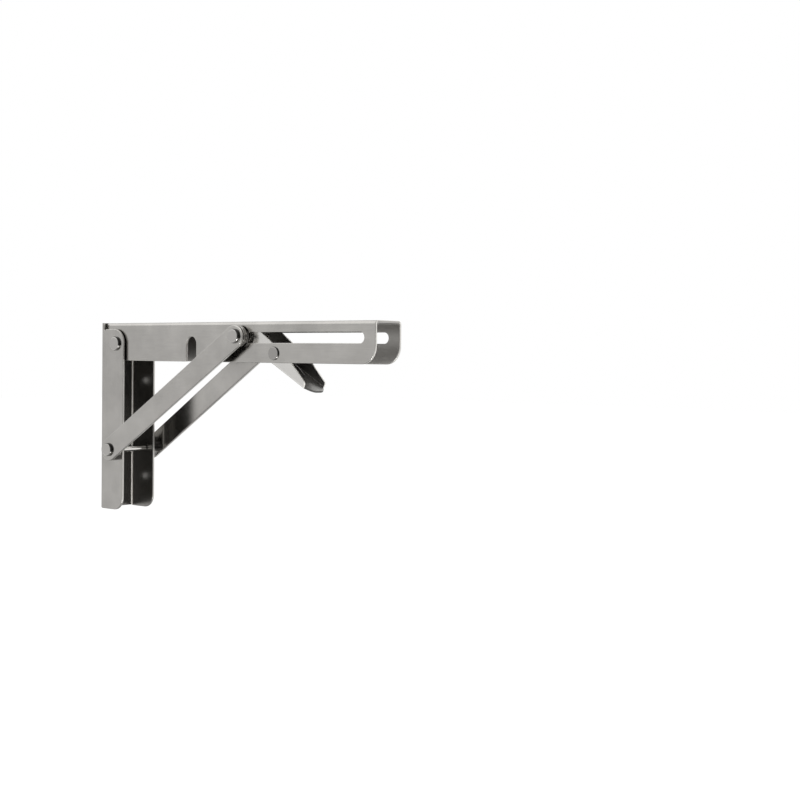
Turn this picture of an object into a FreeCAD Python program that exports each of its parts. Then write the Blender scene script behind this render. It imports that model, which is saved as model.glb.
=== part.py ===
import FreeCAD, Part
import math
import os
import re
import Sketcher

# Folding shelf bracket, twelve-inch class, in folded stainless sheet.
# X points out from the wall, Y runs along the wall, Z is up, all in millimetres.
# The origin lies on the wall plane, midway between the two wall screw holes.
# The bracket is drawn open, with its shelf arm level. Left is the -Y side.

Vector = FreeCAD.Vector

# Driving dimensions
SIZES = {
    # wall channel
    "wall_high": 158.0,
    "wall_above": 91.0,
    "wall_wide": 34.8,
    "wall_deep": 29.5,
    "wall_sheet": 2.0,
    "bend_inner": 0.6,
    "ear_drop": 5.2,
    "ear_round": 12.0,
    "foot_round": 11.0,
    "heel_round": 3.0,
    "strip_wide": 3.7,
    "relief_wide": 2.4,
    "rim_round": 0.5,
    "wall_screw_gap": 84.0,
    "screw_hole": 5.5,
    # the two fixed pivots: the arm's, and the struts' below it
    "pivot_out": 19.5,
    "pivot_drop": 17.4,
    "pivot_gap": 89.4,
    # shelf channel
    "arm_reach": 306.5,
    "arm_sheet": 2.0,
    "side_gap": 0.9,
    "arm_back": 15.0,
    "arm_fall": 14.3,
    "toe_round": 13.0,
    "back_round": 13.5,
    "slot_wide": 8.3,
    "slot_rise": 5.0,
    "slot_margin": 10.5,
    "slot_spare": 0.2,
    "pin_out": 149.1,
    "pin_size": 6.2,
    "notch_wide": 12.1,
    "notch_shift": 2.35,
    "shelf_screw_first": 58.0,
    "shelf_screw_gap": 105.0,
    # struts and what carries them
    "strut_wide": 18.5,
    "strut_sheet": 2.5,
    "strut_stand": 4.6,
    "strut_short": 1.6,
    "edge_round": 0.6,
    "axle_size": 4.8,
    "spacer_size": 18.5,
    "bush_flange": 16.6,
    "bush_step": 1.4,
    "bush_hub": 11.4,
    "open_gap": 0.3,
    # rivets
    "rivet_size": 6.0,
    "rivet_head": 12.0,
    "axle_head": 11.2,
    "tip_head": 11.4,
    "rivet_proud": 2.1,
    "head_round": 1.2,
    "upset_size": 8.6,
    "upset_thick": 1.2,
    # release lever
    "lever_out": 185.5,
    "lever_fall": 7.1,
    "lever_lean": 28.65,
    "lever_sheet": 1.5,
    "lever_gap": 0.6,
    "lever_seat": 9.65,
    "lever_pin": 5.0,
    "lever_head": 10.4,
    "lever_proud": 1.2,
    "lever_round": 0.8,
    "washer_size": 9.6,
    "nose_back": 34.5,
    "nose_foot": 30.2,
    "nose_high": 0.7,
    "crown_back": 25.5,
    "crown_high": 6.3,
    "brow_out": 11.7,
    "brow_high": 2.9,
    "brow_round": 12.0,
    "tail_out": 36.8,
    "tail_high": -5.0,
    "tail_end": 37.0,
    "tongue_end": 43.2,
    "tongue_wide": 11.0,
    "tongue_round": 7.0,
    "tip_round": 2.0,
    # torsion spring on the lever pin
    "wire_size": 1.2,
    "coil_size": 8.2,
    "coil_turns": 5.75,
    "coil_pitch": 1.45,
    "wall_leg_lean": 62.0,
    "web_leg_long": 22.0,
    # clearances
    "running_play": 0.05,
    "face_play": 0.1,
}

document = FreeCAD.newDocument("FoldingShelfBracket")
sheet = document.addObject("Spreadsheet::Sheet", "Sizes")
for row, (alias, number) in enumerate(SIZES.items(), start=1):
    sheet.set("A%d" % row, alias)
    sheet.set("B%d" % row, str(number))
    sheet.setAlias("B%d" % row, alias)
document.recompute()

# Lengths that follow from the driving dimensions
WALL_HALF = "wall_wide / 2"
WALL_INSIDE = f"({WALL_HALF} - wall_sheet)"
BEND_OUTER = "(bend_inner + wall_sheet)"
ARM_HALF = f"({WALL_INSIDE} - side_gap)"
ARM_INSIDE = f"({ARM_HALF} - arm_sheet)"
FOOT_INSIDE = f"({WALL_HALF} + strut_stand)"
FOOT_OUTSIDE = f"({FOOT_INSIDE} + strut_sheet)"
TIP_INSIDE = f"({ARM_HALF} + strut_stand)"
TIP_OUTSIDE = f"({TIP_INSIDE} + strut_sheet)"
LEVER_HALF = f"({ARM_INSIDE} - lever_gap)"
WALL_FOOT = "(wall_above - wall_high)"
EAR_TOP = "(wall_above - ear_drop)"
PIVOT_HIGH = "(wall_above - pivot_drop)"
AXLE_HIGH = f"({PIVOT_HIGH} - pivot_gap)"
ARM_LOW = f"({PIVOT_HIGH} - arm_fall)"
ARM_REAR = "(pivot_out - arm_back)"
SLOT_HIGH = f"({PIVOT_HIGH} + slot_rise)"
SLOT_START = "(pivot_out + pin_out - slot_spare)"
SLOT_STOP = "(arm_reach - slot_margin - slot_wide / 2)"
NOTCH_X = "(pivot_out + pivot_gap + notch_shift)"
# The shelf's weight holds the pins against the slot's upper edge
PIN_RISE = "(slot_rise + slot_wide / 2 - pin_size / 2 - running_play)"
PIN_X = "(pivot_out + pin_out)"
PIN_HIGH = f"({PIVOT_HIGH} + {PIN_RISE})"
STRUT_RISE = f"(pivot_gap + {PIN_RISE})"
STRUT_LONG = f"sqrt(pin_out ^ 2 + {STRUT_RISE} ^ 2)"
STRUT_LEAN = f"atan({STRUT_RISE} / pin_out)"
# The arm is narrower than the wall channel, so the struts close in towards their tips
STRUT_SLOPE = f"(({WALL_HALF} - {ARM_HALF}) / {STRUT_LONG})"
LEVER_X = "(pivot_out + lever_out)"
LEVER_Z = f"({PIVOT_HIGH} - lever_fall)"
LEVER_WEB = "(lever_sheet - lever_seat)"
# How far a cut runs past the metal that it goes through
SPARE = "2 * wall_sheet"

ALIAS = re.compile(r"\b(%s)\b" % "|".join(SIZES))
SIDES = {"left": -1, "right": 1}
shown = []


def bound(text):
    """The expression with each size written as a reference to its cell."""
    return ALIAS.sub(r"Sizes.\1", text)


def value(text):
    """The present value of an expression."""
    result = sheet.evalExpression(text)
    return float(getattr(result, "Value", result))


def new_body(label):
    body = document.addObject("PartDesign::Body", label)
    body.Label = label
    shown.append(body)
    return body


def place(part, x="0", y="0", z="0", axis=None, turn="0"):
    """Puts a part at bound coordinates, turned by a positive angle about an axis."""
    if axis is not None:
        part.Placement = FreeCAD.Placement(Vector(), FreeCAD.Rotation(axis, value(turn)))
        part.setExpression("Placement.Rotation.Angle", bound(turn))
    for letter, text in (("x", x), ("y", y), ("z", z)):
        part.setExpression("Placement.Base." + letter, bound(text))


def place_side(part, side, x, z, out):
    """Puts a turned part on one side of the bracket, its own +Y pointing to the middle."""
    if side == "left":
        place(part, x, f"-({out})", z)
    else:
        place(part, x, out, z, Vector(0, 0, 1), "180")


# Sketches, with every point and radius held by the sheet

def new_sketch(body, plane, offset=None):
    sketch = body.newObject("Sketcher::SketchObject", "Sketch")
    flat = [item for item in body.Origin.OriginFeatures if item.Role == plane + "_Plane"][0]
    sketch.AttachmentSupport = [(flat, "")]
    sketch.MapMode = "FlatFace"
    if offset is not None:
        sketch.setExpression("AttachmentOffset.Base.z", bound(offset))
    return sketch


def hold(sketch, kind, *where, by):
    """One constraint whose datum is an expression."""
    index = sketch.addConstraint(Sketcher.Constraint(kind, *where, value(by)))
    sketch.setExpression("Constraints[%d]" % index, bound(by))


def tie(sketch, kind, *where):
    sketch.addConstraint(Sketcher.Constraint(kind, *where))


def circle(sketch, x, y, size):
    centre = Vector(value(x), value(y), 0)
    index = sketch.addGeometry(Part.Circle(centre, Vector(0, 0, 1), value(size) / 2))
    hold(sketch, "DistanceX", index, 3, by=x)
    hold(sketch, "DistanceY", index, 3, by=y)
    hold(sketch, "Diameter", index, by=size)


def slot(sketch, first, last, wide):
    """A slot with round ends, about two centres."""
    start = Vector(value(first[0]), value(first[1]), 0)
    stop = Vector(value(last[0]), value(last[1]), 0)
    radius = value(wide) / 2
    along = (stop - start).normalize()
    side = Vector(-along.y, along.x, 0) * radius
    heading = math.atan2(along.y, along.x)
    quarter = math.pi / 2
    upright = Vector(0, 0, 1)
    near = sketch.addGeometry(Part.ArcOfCircle(
        Part.Circle(start, upright, radius), heading + quarter, heading + 3 * quarter))
    low = sketch.addGeometry(Part.LineSegment(start - side, stop - side))
    far = sketch.addGeometry(Part.ArcOfCircle(
        Part.Circle(stop, upright, radius), heading - quarter, heading + quarter))
    high = sketch.addGeometry(Part.LineSegment(stop + side, start + side))
    tie(sketch, "Tangent", near, 2, low, 1)
    tie(sketch, "Tangent", low, 2, far, 1)
    tie(sketch, "Tangent", far, 2, high, 1)
    tie(sketch, "Tangent", high, 2, near, 1)
    for arc, centre in ((near, first), (far, last)):
        hold(sketch, "DistanceX", arc, 3, by=centre[0])
        hold(sketch, "DistanceY", arc, 3, by=centre[1])
    hold(sketch, "Radius", near, by=f"({wide}) / 2")


def outline(sketch, corners):
    """A closed outline through corners (x, y) or (x, y, radius)."""
    points = [Vector(value(corner[0]), value(corner[1]), 0) for corner in corners]
    radii = [value(corner[2]) if len(corner) == 3 else 0 for corner in corners]
    count = len(corners)
    entries = []
    exits = []
    for index, point in enumerate(points):
        before = (points[index - 1] - point).normalize()
        after = (points[(index + 1) % count] - point).normalize()
        opening = before.getAngle(after)
        cut = radii[index] / math.tan(opening / 2)
        entries.append(point + before * cut)
        exits.append(point + after * cut)
    lines = [sketch.addGeometry(Part.LineSegment(exits[i], entries[(i + 1) % count])) for i in range(count)]
    for index, corner in enumerate(corners):
        arriving = lines[index - 1]
        leaving = lines[index]
        if radii[index] == 0:
            tie(sketch, "Coincident", arriving, 2, leaving, 1)
            hold(sketch, "DistanceX", leaving, 1, by=corner[0])
            hold(sketch, "DistanceY", leaving, 1, by=corner[1])
            continue
        arrival = (entries[index] - points[index - 1]).normalize()
        departure = (exits[index] - points[index]).normalize()
        turns_left = arrival.cross(departure).z > 0
        inward = Vector(-arrival.y, arrival.x, 0) * (radii[index] if turns_left else -radii[index])
        centre = entries[index] + inward
        ends = [entries[index], exits[index]] if turns_left else [exits[index], entries[index]]
        angles = [math.atan2(end.y - centre.y, end.x - centre.x) for end in ends]
        arc = sketch.addGeometry(Part.ArcOfCircle(
            Part.Circle(centre, Vector(0, 0, 1), radii[index]), angles[0], angles[1]))
        meeting = sketch.addGeometry(Part.Point(points[index]), True)
        tie(sketch, "Tangent", arriving, 2, arc, 1 if turns_left else 2)
        tie(sketch, "Tangent", leaving, 1, arc, 2 if turns_left else 1)
        hold(sketch, "Radius", arc, by=corner[2])
        hold(sketch, "DistanceX", meeting, 1, by=corner[0])
        hold(sketch, "DistanceY", meeting, 1, by=corner[1])
        tie(sketch, "PointOnObject", meeting, 1, arriving)
        tie(sketch, "PointOnObject", meeting, 1, leaving)


def box_outline(sketch, low, high):
    outline(sketch, [(low[0], low[1]), (high[0], low[1]), (high[0], high[1]), (low[0], high[1])])


# Features

def extrude(body, kind, sketch, length, both_ways=False):
    feature = body.newObject("PartDesign::" + kind, kind)
    feature.Profile = sketch
    feature.SideType = "Symmetric" if both_ways else "One side"
    feature.setExpression("Length", bound(length))
    body.Tip = feature
    return feature


def cut_through(body, sketch, length):
    """A cut the same distance to both sides of the sketch."""
    return extrude(body, "Pocket", sketch, length, both_ways=True)


def trim(body, plane, corners, low, high, length, offset=None):
    """Cuts away all that lies outside an outline, within a box round it."""
    sketch = new_sketch(body, plane, offset)
    box_outline(sketch, low, high)
    outline(sketch, corners)
    return cut_through(body, sketch, length)


def turned(label, corners):
    """A piece turned about its own Y axis, from an outline of (radius, distance along)."""
    body = new_body(label)
    sketch = new_sketch(body, "XY")
    outline(sketch, corners)
    feature = body.newObject("PartDesign::Revolution", "Revolution")
    feature.Profile = sketch
    feature.ReferenceAxis = (sketch, ["V_Axis"])
    feature.Angle = 360
    body.Tip = feature
    return body


def ring(label, size, bore, thick):
    """A flat ring about its own Y axis, from its face at zero."""
    return turned(label, [
        (f"({bore}) / 2", "0"), (f"({size}) / 2", "0"),
        (f"({size}) / 2", thick), (f"({bore}) / 2", thick)])


def head(size, seat, outwards=True, proud="rivet_proud", rounding="head_round"):
    """A pan head on a seat, from its rim to the axis, or from the axis to its rim if it points back."""
    crown = f"{seat} + {proud}" if outwards else f"{seat} - {proud}"
    corners = [(f"({size}) / 2", seat), (f"({size}) / 2", crown, rounding), ("0", crown)]
    return corners if outwards else corners[::-1]


def at(number, text):
    return abs(number - value(text)) < 0.001


def round_edges(body, blank, radius, test):
    """Rounds those edges of a feature that pass a test of their bounding box."""
    document.recompute()
    rounding = body.newObject("PartDesign::Fillet", "Fillet")
    rounding.Base = (blank, ["Edge%d" % (i + 1) for i, edge in enumerate(blank.Shape.Edges)
                             if test(edge.BoundBox)])
    rounding.setExpression("Radius", bound(radius))
    body.Tip = rounding


def round_rims(body, blank, faces, test):
    """Takes the sharpness off the rims of two side plates, whose faces lie at the given half widths."""
    round_edges(body, blank, "rim_round", lambda box: (
        box.YLength < 0.001 and any(at(abs(box.YMin), face) for face in faces) and test(box)))


# Wall channel: a web on the wall with two side plates folded out from it
wall = new_body("wall_channel")
section = new_sketch(wall, "XY", WALL_FOOT)
outline(section, [
    ("0", f"-{WALL_HALF}", BEND_OUTER), ("wall_deep", f"-{WALL_HALF}"),
    ("wall_deep", f"-{WALL_INSIDE}"), ("wall_sheet", f"-{WALL_INSIDE}", "bend_inner"),
    ("wall_sheet", WALL_INSIDE, "bend_inner"), ("wall_deep", WALL_INSIDE),
    ("wall_deep", WALL_HALF), ("0", WALL_HALF, BEND_OUTER)])
extrude(wall, "Pad", section, "wall_high")
# The side plates end in ears below the web's top, and have round front corners
trim(wall, "XZ", [
    ("0", WALL_FOOT, "heel_round"), ("wall_deep", WALL_FOOT, "foot_round"),
    ("wall_deep", EAR_TOP, "ear_round"), ("strip_wide", EAR_TOP),
    ("strip_wide", "wall_above"), ("0", "wall_above")],
    (f"-{SPARE}", f"{WALL_FOOT} - {SPARE}"), (f"wall_deep + {SPARE}", f"wall_above + {SPARE}"),
    f"wall_wide + {SPARE}")
# Round reliefs where the folded strip stands up beside the ears
relief = new_sketch(wall, "XZ")
circle(relief, "strip_wide + relief_wide / 2", EAR_TOP, "relief_wide")
cut_through(wall, relief, f"wall_wide + {SPARE}")
pivots = new_sketch(wall, "XZ")
circle(pivots, "pivot_out", PIVOT_HIGH, "rivet_size")
circle(pivots, "pivot_out", AXLE_HIGH, "axle_size + 2 * running_play")
cut_through(wall, pivots, f"wall_wide + {SPARE}")
wall_screws = new_sketch(wall, "YZ")
circle(wall_screws, "0", "wall_screw_gap / 2", "screw_hole")
circle(wall_screws, "0", "-wall_screw_gap / 2", "screw_hole")
wall_blank = cut_through(wall, wall_screws, "4 * wall_sheet")
round_rims(wall, wall_blank, (WALL_HALF, WALL_INSIDE), lambda box: (
    at(box.XMax, "wall_deep") or (box.XMin > value(BEND_OUTER) + 0.5 and (
        at(box.ZMin, EAR_TOP) or at(box.ZMax, WALL_FOOT)))))

# Shelf channel: the arm, a web under the shelf with two side plates folded down
arm = new_body("shelf_channel")
arm_bend = "(bend_inner + arm_sheet)"
arm_ceiling = "(wall_above - arm_sheet)"
section = new_sketch(arm, "YZ", ARM_REAR)
outline(section, [
    (f"-{ARM_HALF}", ARM_LOW), (f"-{ARM_INSIDE}", ARM_LOW),
    (f"-{ARM_INSIDE}", arm_ceiling, "bend_inner"), (ARM_INSIDE, arm_ceiling, "bend_inner"),
    (ARM_INSIDE, ARM_LOW), (ARM_HALF, ARM_LOW),
    (ARM_HALF, "wall_above", arm_bend), (f"-{ARM_HALF}", "wall_above", arm_bend)])
extrude(arm, "Pad", section, f"arm_reach - {ARM_REAR}")
trim(arm, "XZ", [
    (ARM_REAR, ARM_LOW, "back_round"), ("arm_reach", ARM_LOW, "toe_round"),
    ("arm_reach", "wall_above"), (ARM_REAR, "wall_above")],
    (f"{ARM_REAR} - {SPARE}", f"{ARM_LOW} - {SPARE}"), (f"arm_reach + {SPARE}", f"wall_above + {SPARE}"),
    f"wall_wide + {SPARE}")
# The long slot, and the notch that takes the struts' axle when the arm hangs down
windows = new_sketch(arm, "XZ")
slot(windows, (SLOT_START, SLOT_HIGH), (SLOT_STOP, SLOT_HIGH), "slot_wide")
slot(windows, (NOTCH_X, f"{ARM_LOW} - notch_wide"), (NOTCH_X, PIVOT_HIGH), "notch_wide")
circle(windows, "pivot_out", PIVOT_HIGH, "rivet_size + 2 * running_play")
circle(windows, LEVER_X, LEVER_Z, "lever_pin")
cut_through(arm, windows, f"wall_wide + {SPARE}")
shelf_screws = new_sketch(arm, "XY", "wall_above")
for place_in_row in range(3):
    circle(shelf_screws, f"shelf_screw_first + {place_in_row} * shelf_screw_gap", "0", "screw_hole")
arm_blank = cut_through(arm, shelf_screws, "4 * arm_sheet")
round_rims(arm, arm_blank, (ARM_HALF, ARM_INSIDE), lambda box: (
    at(box.ZMax, ARM_LOW) or (box.ZLength > 1 and (at(box.XMax, "arm_reach") or at(box.XMin, ARM_REAR)))))

# Struts: two flat bars with round ends, from the lower axle to the pins in the slot
for side, sign in SIDES.items():
    strut = new_body("strut_" + side)
    bar = new_sketch(strut, "XZ")
    closing = f"atan({STRUT_SLOPE})"
    bar.AttachmentOffset = FreeCAD.Placement(Vector(), FreeCAD.Rotation(Vector(0, -sign, 0), value(closing)))
    bar.setExpression("AttachmentOffset.Rotation.Angle", bound(closing))
    slot(bar, ("0", "0"), (f"{STRUT_LONG} - strut_short", "0"), "strut_wide")
    blank = extrude(strut, "Pad", bar, "strut_sheet")
    wide = value("strut_wide")
    round_edges(strut, blank, "edge_round", lambda box: box.DiagonalLength > wide * 0.9)
    holes = new_sketch(strut, "XZ")
    circle(holes, "0", "0", "axle_size")
    circle(holes, STRUT_LONG, "0", "rivet_size")
    cut_through(strut, holes, "4 * strut_stand")
    base_y = f"-{FOOT_INSIDE}" if side == "left" else FOOT_OUTSIDE
    place(strut, "pivot_out", base_y, AXLE_HIGH, Vector(0, -1, 0), STRUT_LEAN)

# Pivot rivets: the arm turns on one through each ear, spread over inside the arm
PIVOT_GRIP = "(wall_sheet + side_gap + arm_sheet + face_play)"
for side in SIDES:
    rivet = turned("pivot_rivet_" + side, head("rivet_head", "0", outwards=False) + [
        ("rivet_size / 2", "0"), ("rivet_size / 2", PIVOT_GRIP),
        ("upset_size / 2", PIVOT_GRIP), ("upset_size / 2", f"{PIVOT_GRIP} + upset_thick", "upset_thick / 2"),
        ("0", f"{PIVOT_GRIP} + upset_thick")])
    place_side(rivet, side, "pivot_out", PIVOT_HIGH, WALL_HALF)

# Lower axle: one pin through both side plates and both struts, headed at each end
AXLE_SEAT = f"({FOOT_OUTSIDE} + axle_head / 2 * {STRUT_SLOPE})"
SPACER_SEAT = f"({FOOT_INSIDE} - spacer_size / 2 * {STRUT_SLOPE})"
axle = turned("strut_axle", head("axle_head", f"-{AXLE_SEAT}", outwards=False)
              + [("axle_size / 2", f"-{AXLE_SEAT}"), ("axle_size / 2", AXLE_SEAT)]
              + head("axle_head", AXLE_SEAT))
place(axle, "pivot_out", "0", AXLE_HIGH)
for side in SIDES:
    spacer = ring("axle_spacer_" + side, "spacer_size", "axle_size", f"{SPACER_SEAT} - {WALL_HALF} - face_play")
    place_side(spacer, side, "pivot_out", AXLE_HIGH, SPACER_SEAT)

# Pins in the slot: a stub in each side plate, with a bush whose collar passes over the lever pin's head
PIN_END = f"({TIP_INSIDE} - open_gap)"
TIP_SEAT = f"({TIP_OUTSIDE} + tip_head / 2 * {STRUT_SLOPE})"
BUSH_LONG = f"({PIN_END} - {ARM_HALF} - face_play)"
COLLAR = f"({PIN_END} - {ARM_HALF} - bush_step)"
for side in SIDES:
    pin = turned("slot_pin_" + side, [
        ("0", "0"), ("pin_size / 2", "0"),
        ("pin_size / 2", f"{PIN_END} - {ARM_INSIDE}"), ("0", f"{PIN_END} - {ARM_INSIDE}")])
    place_side(pin, side, PIN_X, PIN_HIGH, PIN_END)
    bush = turned("slot_bush_" + side, [
        ("pin_size / 2", "0"), ("bush_flange / 2", "0"), ("bush_flange / 2", COLLAR),
        ("bush_hub / 2", COLLAR), ("bush_hub / 2", BUSH_LONG), ("pin_size / 2", BUSH_LONG)])
    place_side(bush, side, PIN_X, PIN_HIGH, PIN_END)
    tip = turned("tip_rivet_" + side, head("tip_head", "0", outwards=False)
                 + [("rivet_size / 2", "0"), ("rivet_size / 2", "strut_sheet"), ("0", "strut_sheet")])
    place_side(tip, side, PIN_X, PIN_HIGH, TIP_SEAT)

# Release lever: a folded channel whose nose blocks the slot and whose tail is pressed
lever = new_body("release_lever")
lever_bend = "(bend_inner + lever_sheet)"
section = new_sketch(lever, "YZ", "-nose_back")
lever_inside = f"({LEVER_HALF} - lever_sheet)"
outline(section, [
    (f"-{LEVER_HALF}", "-lever_seat", lever_bend), (LEVER_HALF, "-lever_seat", lever_bend),
    (LEVER_HALF, "crown_high"), (lever_inside, "crown_high"),
    (lever_inside, LEVER_WEB, "bend_inner"), (f"-{lever_inside}", LEVER_WEB, "bend_inner"),
    (f"-{lever_inside}", "crown_high"), (f"-{LEVER_HALF}", "crown_high")])
extrude(lever, "Pad", section, "nose_back + tongue_end")
trim(lever, "XZ", [
    ("-nose_foot", "-lever_seat"), ("tongue_end", "-lever_seat"),
    ("tongue_end", LEVER_WEB), ("tail_end", LEVER_WEB),
    ("tail_out", "tail_high", "tip_round"), ("brow_out", "brow_high", "brow_round"),
    ("-crown_back", "crown_high", "tip_round"), ("-nose_back", "nose_high")],
    (f"-nose_back - {SPARE}", f"-lever_seat - {SPARE}"), (f"tongue_end + {SPARE}", f"crown_high + {SPARE}"),
    f"wall_wide + {SPARE}")
# The press face ends in a round tongue
trim(lever, "XY", [
    ("-nose_back - lever_sheet", "-wall_wide / 2"), ("tail_end", "-wall_wide / 2"),
    ("tail_end", f"{lever_bend} - {LEVER_HALF}"), ("tongue_end", "-tongue_wide / 2", "tongue_round"),
    ("tongue_end", "tongue_wide / 2", "tongue_round"), ("tail_end", f"{LEVER_HALF} - {lever_bend}"),
    ("tail_end", "wall_wide / 2"), ("-nose_back - lever_sheet", "wall_wide / 2")],
    (f"-nose_back - {SPARE}", "-wall_wide"), (f"tongue_end + {SPARE}", "wall_wide"), "3 * lever_seat")
pin_hole = new_sketch(lever, "XZ")
circle(pin_hole, "0", "0", "lever_pin + 2 * running_play")
cut_through(lever, pin_hole, f"wall_wide + {SPARE}")
place(lever, LEVER_X, "0", LEVER_Z, Vector(0, 1, 0), "lever_lean")

# Lever pin, headed outside both side plates, with a washer beside each lever cheek
lever_pin = turned("lever_pin", head("lever_head", f"-{ARM_HALF}", False, "lever_proud", "lever_round")
                   + [("lever_pin / 2", f"-{ARM_HALF}"), ("lever_pin / 2", ARM_HALF)]
                   + head("lever_head", ARM_HALF, True, "lever_proud", "lever_round"))
place(lever_pin, LEVER_X, "0", LEVER_Z)
for side in SIDES:
    washer = ring("lever_washer_" + side, "washer_size", "lever_pin", "lever_gap - face_play")
    place_side(washer, side, LEVER_X, LEVER_Z, ARM_INSIDE)


# Torsion spring: its coil on the lever pin, one leg under the shelf web, one on the lever's web
def leg(start, stop, wire):
    return Part.makeCylinder(wire / 2, (stop - start).Length, start, stop - start)


def torsion_spring():
    wire = value("wire_size")
    mean = (value("coil_size") - wire) / 2
    turns = value("coil_turns")
    pitch = value("coil_pitch")
    half = turns * pitch / 2
    # The upper leg leaves the coil's start, and the lower leg its end
    upper = math.radians(value("wall_leg_lean"))
    ceiling = value(f"wall_above - arm_sheet - {LEVER_Z}") - wire / 2 - value("face_play")
    upper_long = (ceiling - mean * math.cos(upper)) / math.sin(upper)
    lower_long = value("web_leg_long")
    seat = value("lever_seat - lever_sheet") - wire / 2 - value("face_play")
    sink = math.asin((seat - mean) / math.hypot(lower_long, mean))
    lower = -math.radians(value("lever_lean")) - sink

    def on_coil(angle, along):
        return Vector(mean * math.cos(angle), along, mean * math.sin(angle))

    first = on_coil(upper + math.pi / 2, -half)
    last = on_coil(lower - math.pi / 2, half)
    upper_way = Vector(math.cos(upper), 0, math.sin(upper))
    lower_way = Vector(math.cos(lower), 0, math.sin(lower))
    swept = (lower - math.pi / 2) - (upper + math.pi / 2)
    rounds = round((2 * math.pi * turns - swept) / (2 * math.pi))
    total = swept + 2 * math.pi * rounds
    steps = 12 * rounds
    poles = [on_coil(upper + math.pi / 2 + total * i / steps, -half + 2 * half * i / steps)
             for i in range(steps + 1)]
    centre_line = Part.BSplineCurve()
    centre_line.interpolate(poles)
    path = Part.Wire([centre_line.toShape()])
    heading = centre_line.tangent(centre_line.FirstParameter)[0]
    profile = Part.Wire([Part.Circle(first, heading, wire / 2).toShape()])
    coil = path.makePipeShell([profile], True, True)
    solid = coil.fuse([
        leg(first, first + upper_way * upper_long, wire),
        leg(last, last + lower_way * lower_long, wire),
        Part.makeSphere(wire / 2, first), Part.makeSphere(wire / 2, last)])
    return solid.removeSplitter()


spring = document.addObject("Part::Feature", "lever_spring")
spring.Label = "lever_spring"
spring.Shape = torsion_spring()
spring.Placement = FreeCAD.Placement(Vector(value(LEVER_X), 0, value(LEVER_Z)), FreeCAD.Rotation())
shown.append(spring)

document.recompute()

# Every object has to be sound before anything is written
for item in document.Objects:
    if "Invalid" in item.State or "Error" in item.State:
        raise RuntimeError("%s failed: %s" % (item.Label, item.State))
for part in shown:
    if part.Shape.isNull() or not part.Shape.isValid():
        raise RuntimeError("%s has no sound shape" % part.Label)
    if len(part.Shape.Solids) != 1:
        raise RuntimeError("%s has %d solids" % (part.Label, len(part.Shape.Solids)))

os.makedirs("parts", exist_ok=True)
for part in shown:
    part.Shape.exportStep(os.path.join("parts", part.Label + ".step"))
    print("%-20s %9.1f mm3" % (part.Label, part.Shape.Volume))
print("strut length %.2f, lean %.3f degrees" % (value(STRUT_LONG), value(STRUT_LEAN)))
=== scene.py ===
import math

import bpy
from mathutils import Matrix, Vector


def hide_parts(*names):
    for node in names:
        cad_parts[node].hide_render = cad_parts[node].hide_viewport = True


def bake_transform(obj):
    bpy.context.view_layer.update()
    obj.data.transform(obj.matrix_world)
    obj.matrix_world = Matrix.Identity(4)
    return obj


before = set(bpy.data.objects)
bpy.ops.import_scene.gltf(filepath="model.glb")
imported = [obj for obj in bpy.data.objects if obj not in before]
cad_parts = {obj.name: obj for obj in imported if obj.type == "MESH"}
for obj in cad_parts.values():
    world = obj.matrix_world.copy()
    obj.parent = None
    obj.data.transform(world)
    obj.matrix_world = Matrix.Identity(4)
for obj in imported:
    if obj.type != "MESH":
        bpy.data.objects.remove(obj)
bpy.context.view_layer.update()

scene = bpy.context.scene
scene.view_settings.view_transform = "Standard"

# Camera: fitted to the photograph's edges, with no shift
CAMERA_PLACE = (0.9358, -0.7451, 0.0629)
HEADING = math.radians(39.67)
DIP = math.radians(1.70)
ROLL = math.radians(0.72)

camera = bpy.data.objects.new("camera", bpy.data.cameras.new("camera"))
scene.collection.objects.link(camera)
scene.camera = camera
camera.data.sensor_width = 36.0
camera.data.lens = 60.97
camera.data.clip_start = 0.01
camera.data.clip_end = 50.0
forward = Vector((-math.sin(HEADING) * math.cos(DIP), math.cos(HEADING) * math.cos(DIP), -math.sin(DIP)))
level = Vector((math.cos(HEADING), math.sin(HEADING), 0.0))
upright = level.cross(forward)
right = level * math.cos(ROLL) + upright * math.sin(ROLL)
up = upright * math.cos(ROLL) - level * math.sin(ROLL)
turn = Matrix((right, up, -forward)).transposed()
camera.matrix_world = Matrix.Translation(CAMERA_PLACE) @ turn.to_4x4()


# Node helpers. Values and operands are numbers or the sockets of other nodes.
def new_node(tree, kind, values=None, **settings):
    node = tree.nodes.new(kind)
    for name, value in settings.items():
        setattr(node, name, value)
    for entry, value in (values or {}).items():
        if isinstance(value, bpy.types.NodeSocket):
            tree.links.new(value, node.inputs[entry])
        else:
            node.inputs[entry].default_value = value
    return node


def calc(tree, operation, first, second=None):
    operands = {0: first} if second is None else {0: first, 1: second}
    return new_node(tree, "ShaderNodeMath", operands, operation=operation).outputs[0]


def product(tree, first, *others):
    for other in others:
        first = calc(tree, "MULTIPLY", first, other)
    return first


def remap(tree, value, start, stop, low=0.0, high=1.0, kind="LINEAR"):
    """Goes from low to high while the value goes from start to stop."""
    node = new_node(tree, "ShaderNodeMapRange", {
        "Value": value, "From Min": start, "From Max": stop, "To Min": low, "To Max": high},
        interpolation_type=kind)
    return node.outputs["Result"]


def axes(tree, vector):
    return new_node(tree, "ShaderNodeSeparateXYZ", {0: vector}).outputs


def dot(tree, vector, direction):
    node = new_node(tree, "ShaderNodeVectorMath", {0: vector, 1: direction}, operation="DOT_PRODUCT")
    return node.outputs["Value"]


def background_share(tree):
    """1 for rays that see the background straight, in metal or through glass."""
    path = new_node(tree, "ShaderNodeLightPath").outputs
    seen = calc(tree, "MAXIMUM", path["Is Camera Ray"], path["Is Glossy Ray"])
    return calc(tree, "MAXIMUM", seen, path["Is Transmission Ray"])


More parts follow.
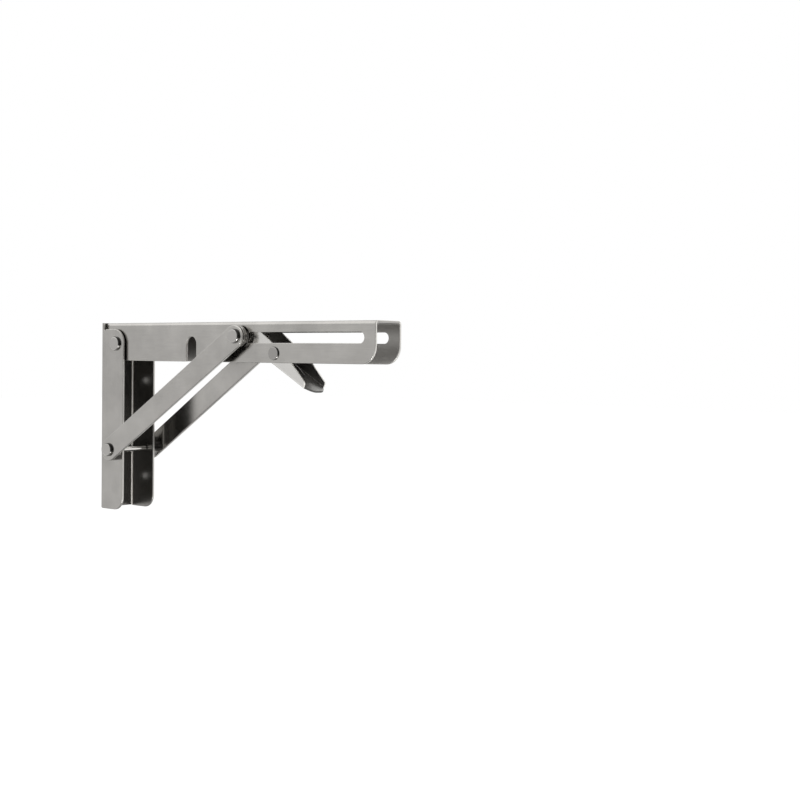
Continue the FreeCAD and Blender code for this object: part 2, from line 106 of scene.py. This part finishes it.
# The unlit end of the studio, where the photographer stands, shows only in the metal
UNLIT = (0.743, -0.669, 0.0)
UNLIT_WIDE = math.cos(math.radians(36))
UNLIT_NARROW = math.cos(math.radians(14))
UNLIT_DEPTH = 0.97
WHITE = (1.0, 1.0, 1.0, 1.0)


def unlit_share(tree, outward):
    """1 in the middle of the unlit end, and 0 beyond its soft border."""
    return remap(tree, dot(tree, outward, UNLIT), UNLIT_WIDE, UNLIT_NARROW, kind="SMOOTHSTEP")


# World: white where it is seen, and a plain level where it lights
WORLD_LEVEL = 0.55
UNLIT_TOP = (0.26, 0.1)

world = bpy.data.worlds.new("studio")
scene.world = world
world.use_nodes = True
tree = world.node_tree
tree.nodes.clear()
around = new_node(tree, "ShaderNodeTexCoord").outputs["Generated"]
in_metal = new_node(tree, "ShaderNodeLightPath").outputs["Is Glossy Ray"]
below_top = remap(tree, axes(tree, around)["Z"], *UNLIT_TOP, kind="SMOOTHSTEP")
unlit = product(tree, unlit_share(tree, around), below_top, in_metal, UNLIT_DEPTH)
lit = new_node(tree, "ShaderNodeBackground", {"Color": WHITE, "Strength": WORLD_LEVEL})
seen = new_node(tree, "ShaderNodeBackground", {
    "Color": WHITE, "Strength": calc(tree, "SUBTRACT", 1.0, unlit)})
blend = new_node(tree, "ShaderNodeMixShader", {
    0: background_share(tree), 1: lit.outputs[0], 2: seen.outputs[0]})
new_node(tree, "ShaderNodeOutputWorld", {"Surface": blend.outputs[0]})

# Floor: where it is seen, a matt part takes the bracket's shadow and a glow brings it to white,
# or a little over, so that the soft shadow hardly shows
FLOOR_REACH = 12.0
FLOOR_DROP = 0.42
FLOOR_MATT = (0.86, 0.86, 0.86, 1.0)
FLOOR_SHADED = (0.45, 0.45, 0.45, 1.0)
FLOOR_GLOW = 0.8
# Distances from the floor's middle: where the unlit end starts, and the shade that the shelf casts
UNLIT_FROM = (1.4, 2.6)
SHELF_SHADE = (0.75, 0.45)
SHELF_SHADE_DEPTH = 0.9

floor_mesh = bpy.data.meshes.new("floor")
floor_mesh.from_pydata([
    (-FLOOR_REACH, -FLOOR_REACH, 0), (FLOOR_REACH, -FLOOR_REACH, 0),
    (FLOOR_REACH, FLOOR_REACH, 0), (-FLOOR_REACH, FLOOR_REACH, 0)], [], [(0, 1, 2, 3)])
floor = bpy.data.objects.new("floor", floor_mesh)
floor.location = (0, 0, -FLOOR_DROP)
scene.collection.objects.link(floor)
floor_material = bpy.data.materials.new("pale_floor")
floor_material.use_nodes = True
tree = floor_material.node_tree
tree.nodes.clear()
around = new_node(tree, "ShaderNodeTexCoord").outputs["Object"]
in_metal = new_node(tree, "ShaderNodeLightPath").outputs["Is Glossy Ray"]
outward = new_node(tree, "ShaderNodeVectorMath", {0: around}, operation="NORMALIZE").outputs[0]
distance = new_node(tree, "ShaderNodeVectorMath", {0: around}, operation="LENGTH").outputs["Value"]
beyond = remap(tree, distance, *UNLIT_FROM, kind="SMOOTHSTEP")
below = remap(tree, distance, *SHELF_SHADE, high=SHELF_SHADE_DEPTH, kind="SMOOTHSTEP")
unlit = calc(tree, "MAXIMUM", product(tree, unlit_share(tree, outward), beyond), below)
dimmed = product(tree, unlit, in_metal, FLOOR_GLOW)
matt = new_node(tree, "ShaderNodeBsdfDiffuse", {"Color": FLOOR_MATT})
shaded = new_node(tree, "ShaderNodeBsdfDiffuse", {"Color": FLOOR_SHADED})
glow = new_node(tree, "ShaderNodeEmission", {
    "Color": WHITE, "Strength": calc(tree, "SUBTRACT", FLOOR_GLOW, dimmed)})
white = new_node(tree, "ShaderNodeAddShader", {0: shaded.outputs[0], 1: glow.outputs[0]})
blend = new_node(tree, "ShaderNodeMixShader", {
    0: background_share(tree), 1: matt.outputs[0], 2: white.outputs[0]})
new_node(tree, "ShaderNodeOutputMaterial", {"Surface": blend.outputs[0]})
floor_mesh.materials.append(floor_material)

# Lamps: name, place, width and height in metres, and watts
MIDDLE = Vector((0.13, 0.0, 0.03))
LAMPS = (
    ("key", (-1.05, -0.8, 1.4), (2.4, 2.4), 13.7),
    ("low", (0.45, -0.11, -0.36), (0.14, 0.14), 1.1),
    ("strip", (1.29, -0.31, 0.0), (0.06, 0.6), 0.4),
    ("back", (0.6, 1.6, 1.0), (2.0, 1.6), 8.0),
)
for name, place, (wide, high), power in LAMPS:
    light = bpy.data.lights.new(name, "AREA")
    light.shape = "RECTANGLE"
    light.size = wide
    light.size_y = high
    light.energy = power
    lamp = bpy.data.objects.new(name, light)
    lamp.location = place
    lamp.rotation_mode = "QUATERNION"
    lamp.rotation_quaternion = (MIDDLE - Vector(place)).to_track_quat("-Z", "Y")
    lamp.visible_camera = False
    scene.collection.objects.link(lamp)

# Brushing: fine streaks, drawn out along the grain, over a soft mottling from handling and rolling
STREAK_SCALE = 2600.0
STREAK_STRETCH = 0.02
STREAK_DEPTH = 0.00002
MOTTLE_SCALE = 42.0
MOTTLE_SHARE = 0.75

# Sheared edges: how little a face looks along Y to be one, and how much lighter it is made, a painted
# highlight
EDGE_FACING = 0.35
EDGE_PAINTED_HIGHLIGHT = 0.7
HAIR = 0.0001

# Insides of the folds and the cut end, both darkened as painted shade, and the painted highlight along the
# inner folds
WEB_FACING = 0.7
END_FACING = 0.4
END_PAINTED_SHADE = 0.6
BEND_PAINTED_HIGHLIGHT = 1.6

# Heads: how far their rims turn from Y to take painted shade, the part below that is left without it so that
# the low lamp's highlight shows, and the shanks lightened as a painted highlight
RIM_TURN = (0.93, 0.75)
UNSHADED_TURN = (-0.24, -0.34)
SHANK_HALF = 0.0145
SHANK_PAINTED_HIGHLIGHT = 1.8


# Materials: brushed stainless steel, duller on its cut edges and inside its folds, with painted highlights
# and painted shade in its colour
def steel(name, colour, rough, grain, along, edge=0.0, patch=0.07, sheet=None, cut=0.45, inside=None,
          shade=1.0, end=None, bend=None, foot=None):
    """A material. Lengths are in metres, and ways are directions of the object's own axes.

    grain is the strength of the brushing, along the axis (X, Y or Z) that it runs along, and patch
    the share by which the mottling changes the colour. edge is the radius of the softened edges.
    sheet holds a folded piece's outer half width, its thickness and the way out of its web; its sheared
    edges are made lighter, a painted highlight. cut is the roughness of its sheared edges, inside the
    roughness within the fold, and shade the tone there, a painted shade. end is the way that a dull cut
    end faces, darkened as painted shade, and bend the depth of the painted highlight along the inner
    folds. foot is the painted shade on the rim of a head or spacer, left off the part below, where the
    low lamp's highlight shows; where foot is given, the shanks are lightened, a painted highlight."""
    material = bpy.data.materials.new(name)
    material.use_nodes = True
    tree = material.node_tree
    tree.nodes.clear()
    place = new_node(tree, "ShaderNodeTexCoord").outputs
    stretch = [1.0, 1.0, 1.0]
    stretch[along] = STREAK_STRETCH
    spread = new_node(tree, "ShaderNodeMapping", {"Vector": place["Object"], "Scale": stretch})
    streaks = new_node(tree, "ShaderNodeTexNoise", {
        "Vector": spread.outputs[0], "Scale": STREAK_SCALE, "Detail": 3.0, "Roughness": 0.6}).outputs["Fac"]
    mottle = new_node(tree, "ShaderNodeTexNoise", {
        "Vector": place["Object"], "Scale": MOTTLE_SCALE, "Detail": 4.0, "Roughness": 0.55}).outputs["Fac"]
    mixed = calc(tree, "ADD", product(tree, mottle, MOTTLE_SHARE), product(tree, streaks, 1.0 - MOTTLE_SHARE))
    low = [channel * (1.0 - patch) for channel in colour]
    high = [channel * (1.0 + patch) for channel in colour]
    base = new_node(tree, "ShaderNodeMix", {
        0: remap(tree, mixed, 0.3, 0.7), 6: (*low, 1.0), 7: (*high, 1.0)}, data_type="RGBA").outputs[2]
    gloss = remap(tree, streaks, 0.25, 0.75, 0.85, 1.2)

    dull = rough
    tone = 1.0
    if foot or sheet:
        spot = axes(tree, place["Object"])
        slope = axes(tree, place["Normal"])
        aside = calc(tree, "ABSOLUTE", spot["Y"])
        sideways = calc(tree, "ABSOLUTE", slope["Y"])
    if foot:
        # Painted shade on the rims of heads and spacers, left off below, where the low lamp's highlight shows
        side = remap(tree, sideways, *RIM_TURN, 1.0, foot)
        unshaded_below = remap(tree, slope["Z"], *UNSHADED_TURN)
        # Painted highlight: the shanks are lightened
        shank = product(tree, calc(tree, "LESS_THAN", aside, SHANK_HALF), SHANK_PAINTED_HIGHLIGHT)
        tone = calc(tree, "MAXIMUM", calc(tree, "MAXIMUM", side, unshaded_below), shank)
    if sheet:
        half, thick, outward = sheet
        in_plate = calc(tree, "GREATER_THAN", aside, half - thick - HAIR)
        sheared = product(tree, calc(tree, "LESS_THAN", sideways, EDGE_FACING), in_plate)
        if inside is not None:
            # Painted shade: within the fold the colour is darkened to the shade tone
            within = product(tree, calc(tree, "LESS_THAN", aside, half - thick / 2),
                             calc(tree, "LESS_THAN", dot(tree, place["Normal"], outward), WEB_FACING))
            dull = calc(tree, "ADD", product(tree, within, inside - rough), rough)
            tone = calc(tree, "ADD", product(tree, within, shade - 1.0), 1.0)
        # Painted highlight: the sheared edges are lightened
        tone = product(tree, calc(tree, "ADD", product(tree, sheared, EDGE_PAINTED_HIGHLIGHT), 1.0), tone)
        if end:
            # Painted shade: the cut end is darkened
            tip = product(tree, calc(tree, "GREATER_THAN", dot(tree, place["Normal"], end), END_FACING),
                          calc(tree, "SUBTRACT", 1.0, in_plate))
            tone = product(tree, calc(tree, "SUBTRACT", 1.0, product(tree, tip, END_PAINTED_SHADE)), tone)
            sheared = calc(tree, "MAXIMUM", sheared, tip)
        if bend:
            # Painted highlight: a pale strip along the inner folds is lightened
            line = product(tree, calc(tree, "LESS_THAN", spot["X"], thick + bend),
                           calc(tree, "LESS_THAN", aside, half - thick + HAIR),
                           calc(tree, "GREATER_THAN", aside, half - thick - bend))
            tone = calc(tree, "ADD", tone, product(tree, line, BEND_PAINTED_HIGHLIGHT))
            sheared = calc(tree, "MAXIMUM", sheared, line)
        whole = product(tree, calc(tree, "SUBTRACT", 1.0, sheared), dull)
        dull = calc(tree, "ADD", product(tree, sheared, cut), whole)
    if foot or sheet:
        base = new_node(tree, "ShaderNodeVectorMath", {0: base, "Scale": tone}, operation="SCALE").outputs[0]

    relief = new_node(tree, "ShaderNodeBump", {
        "Strength": grain, "Distance": STREAK_DEPTH, "Height": streaks})
    if edge:
        rounded = new_node(tree, "ShaderNodeBevel", {"Radius": edge}, samples=8)
        tree.links.new(rounded.outputs["Normal"], relief.inputs["Normal"])
    shader = new_node(tree, "ShaderNodeBsdfPrincipled", {
        "Metallic": 1.0, "Base Color": base, "Roughness": product(tree, gloss, dull),
        "Normal": relief.outputs["Normal"]})
    new_node(tree, "ShaderNodeOutputMaterial", {"Surface": shader.outputs[0]})
    return material


X, Y, Z = 0, 1, 2
WARM = (0.365, 0.355, 0.338)
wall_steel = steel("steel_wall", (0.345, 0.335, 0.319), 0.18, 0.12, Z, patch=0.13,
                   sheet=(0.0174, 0.002, (-1, 0, 0)), inside=0.22, shade=0.62, bend=0.001)
arm_steel = steel("steel_arm", WARM, 0.18, 0.12, X, patch=0.13, edge=0.0007,
                  sheet=(0.0145, 0.002, (0, 0, 1)), inside=0.36)
# The struts aren't folded, so that all of their narrow faces count as edges
strut_steel = steel("steel_strut", WARM, 0.18, 0.12, X, patch=0.13, sheet=(0.0191, 0.0, (0, 0, 1)))
lever_steel = steel("steel_lever", (0.57, 0.56, 0.54), 0.16, 0.08, X, cut=0.75,
                    sheet=(0.0119, 0.0015, (-0.48, 0, -0.88)), inside=0.34, shade=0.56,
                    end=(0.88, 0, -0.48))
rivet_steel = steel("steel_rivet", (0.37, 0.36, 0.345), 0.13, 0.08, Y, edge=0.0005, patch=0.04, foot=0.09)
pin_steel = steel("steel_pin", (0.29, 0.28, 0.27), 0.14, 0.08, Y, edge=0.0005, patch=0.04, foot=0.09)
spacer_steel = steel("steel_spacer", (0.30, 0.29, 0.28), 0.2, 0.15, Y, edge=0.0003, patch=0.02, foot=0.3)
turned_steel = steel("steel_turned", (0.36, 0.35, 0.335), 0.2, 0.15, Y, edge=0.0003, patch=0.02)
wire_steel = steel("steel_wire", (0.30, 0.30, 0.30), 0.25, 0.1, X, edge=0.0001, patch=0.02)

finishes = {
    "wall_channel": wall_steel, "shelf_channel": arm_steel, "release_lever": lever_steel,
    "strut_axle": rivet_steel, "lever_pin": pin_steel, "lever_spring": wire_steel}
for kind, finish in (("strut", strut_steel), ("pivot_rivet", rivet_steel), ("tip_rivet", rivet_steel),
                     ("axle_spacer", spacer_steel), ("slot_pin", turned_steel),
                     ("slot_bush", turned_steel), ("lever_washer", turned_steel)):
    finishes[kind + "_left"] = finishes[kind + "_right"] = finish
for name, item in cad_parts.items():
    item.data.materials.clear()
    item.data.materials.append(finishes[name])

# Torsion spring: the same wire, as a copy of the CAD part, which is hidden
spring = bpy.data.objects.new("spring_wire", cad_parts["lever_spring"].data.copy())
scene.collection.objects.link(spring)
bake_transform(spring)
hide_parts("lever_spring")
